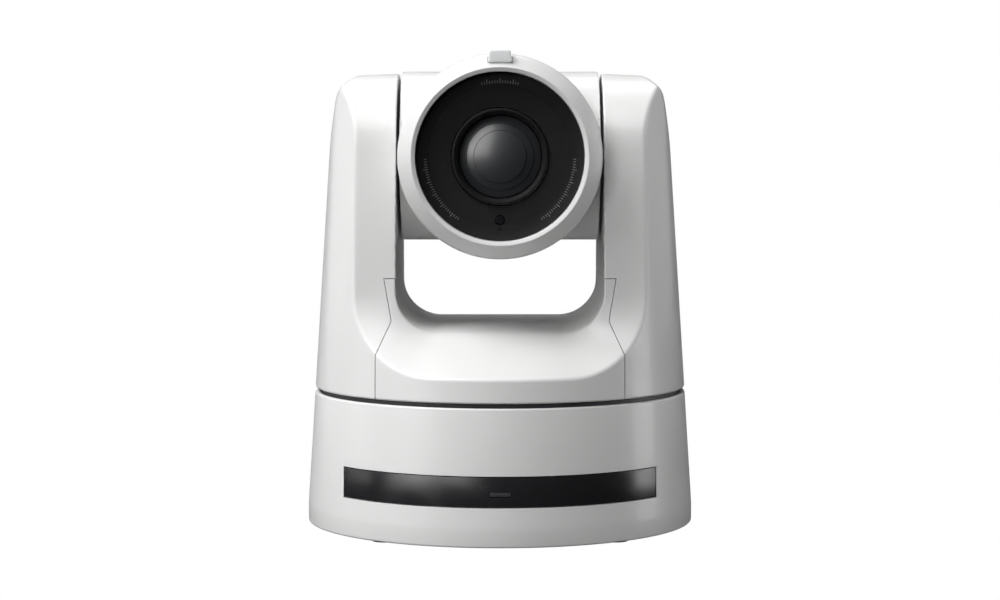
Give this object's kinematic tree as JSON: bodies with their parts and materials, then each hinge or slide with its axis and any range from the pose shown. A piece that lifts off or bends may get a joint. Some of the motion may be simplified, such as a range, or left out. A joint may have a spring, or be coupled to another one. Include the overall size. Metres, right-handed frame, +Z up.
{
  "type": "pan-tilt-zoom camera",
  "caption": "Desktop or ceiling pan-tilt-zoom video camera: conical base, forked pan head and a tilting drum with a large round lens front.",
  "frame": {"origin": "on the pan axis, at the underside of the feet", "axes": "+Z up along the pan axis, the lens looks along -Y, +X to the right of someone facing the lens"},
  "size_m": [0.17, 0.17, 0.2068],
  "materials": {
    "white_housing": "fine moulded texture, satin",
    "black_plastic": "fine moulded texture, matt",
    "dark_grey_plastic": "matt",
    "smoked_window": "polished, nearly opaque",
    "lens_glass": "coated, polished",
    "frosted_lamp": "frosted diffuser",
    "steel": "satin",
    "aluminium": "satin",
    "circuit_board": "solder mask",
    "rubber": "matt",
    "acetal": "smooth",
    "brass": "turned"
  },
  "bodies": {
    "base": {"base_shell": "white_housing", "bottom_plate": "steel", "mounting_plate": "aluminium", "foot_front_left": "rubber", "foot_front_right": "rubber", "foot_rear_left": "rubber", "foot_rear_right": "rubber", "front_window": "smoked_window", "status_led": "frosted_lamp", "top_ring": "dark_grey_plastic", "base_deck": "steel", "pan_bearing_outer": "steel", "pan_motor": "steel", "main_board": "circuit_board", "fan_frame": "black_plastic", "connector_panel": "black_plastic", "lan_port": "steel", "serial_port": "steel", "hdmi_port": "steel", "sdi_connector": "steel", "dc_inlet": "black_plastic", "audio_jack": "black_plastic"},
    "pan_head": {"turntable": "aluminium", "pan_bearing_inner": "steel", "pan_gear": "acetal", "left_arm_cover": "white_housing", "right_arm_cover": "white_housing", "front_saddle_cover": "white_housing", "rear_saddle_cover": "white_housing", "left_arm_inner_panel": "white_housing", "right_arm_inner_panel": "white_housing", "yoke_frame": "steel", "left_tilt_bearing": "brass", "right_tilt_bearing": "brass", "tilt_motor": "steel", "arm_board": "circuit_board", "tilt_belt": "rubber"},
    "camera_head": {"head_front_cover": "white_housing", "head_rear_cover": "white_housing", "lens_ring": "white_housing", "tally_lamp": "frosted_lamp", "front_plate": "black_plastic", "sensor_window": "smoked_window", "lens_barrel": "black_plastic", "front_lens": "lens_glass", "camera_block": "aluminium", "sensor_board": "circuit_board", "camera_bracket": "steel", "left_tilt_shaft": "steel", "right_tilt_shaft": "steel", "tilt_pulley": "acetal"},
    "pan_pinion": {"pan_pinion": "brass"},
    "tilt_motor_pulley": {"tilt_motor_pulley": "aluminium"},
    "zoom_group": {"zoom_group": "lens_glass"},
    "focus_group": {"focus_group": "lens_glass"},
    "fan_rotor": {"fan_rotor": "black_plastic"},
    "reset_button": {"reset_button": "black_plastic"}
  },
  "joints": [
    {"name": "pan", "type": "hinge", "parent": "base", "child": "pan_head", "pos_m": [0, 0, 0.0606], "axis": [0, 0, 1], "range_deg": [-175, 175]},
    {"name": "tilt", "type": "hinge", "parent": "pan_head", "child": "camera_head", "pos_m": [0, 0, 0.1622], "axis": [-1, 0, 0], "range_deg": [-30, 210]},
    {"name": "pan_pinion_spin", "type": "hinge", "parent": "base", "child": "pan_pinion", "pos_m": [0, -0.03635, 0.0514], "axis": [0, 0, 1], "range_deg": [-875, 875]},
    {"name": "tilt_pulley_spin", "type": "hinge", "parent": "pan_head", "child": "tilt_motor_pulley", "pos_m": [-0.0516, 0, 0.108], "axis": [-1, 0, 0], "range_deg": [-96, 672]},
    {"name": "zoom", "type": "slide", "parent": "camera_head", "child": "zoom_group", "axis": [0, 1, 0], "range_m": [0, 0.01]},
    {"name": "focus", "type": "slide", "parent": "camera_head", "child": "focus_group", "axis": [0, 1, 0], "range_m": [-0.003, 0.003]},
    {"name": "fan_spin", "type": "hinge", "parent": "base", "child": "fan_rotor", "pos_m": [-0.039, 0, 0.011], "axis": [0, 0, 1], "continuous": true},
    {"name": "reset_press", "type": "slide", "parent": "base", "child": "reset_button", "axis": [0, -1, 0], "range_m": [0, 0.0008], "stiffness_N_per_m": 500, "springref_m": -0.0004}
  ],
  "couplings": [
    {"joint": "pan_pinion_spin", "follows": "pan", "ratio": -5},
    {"joint": "tilt_pulley_spin", "follows": "tilt", "ratio": 3.2}
  ]
}
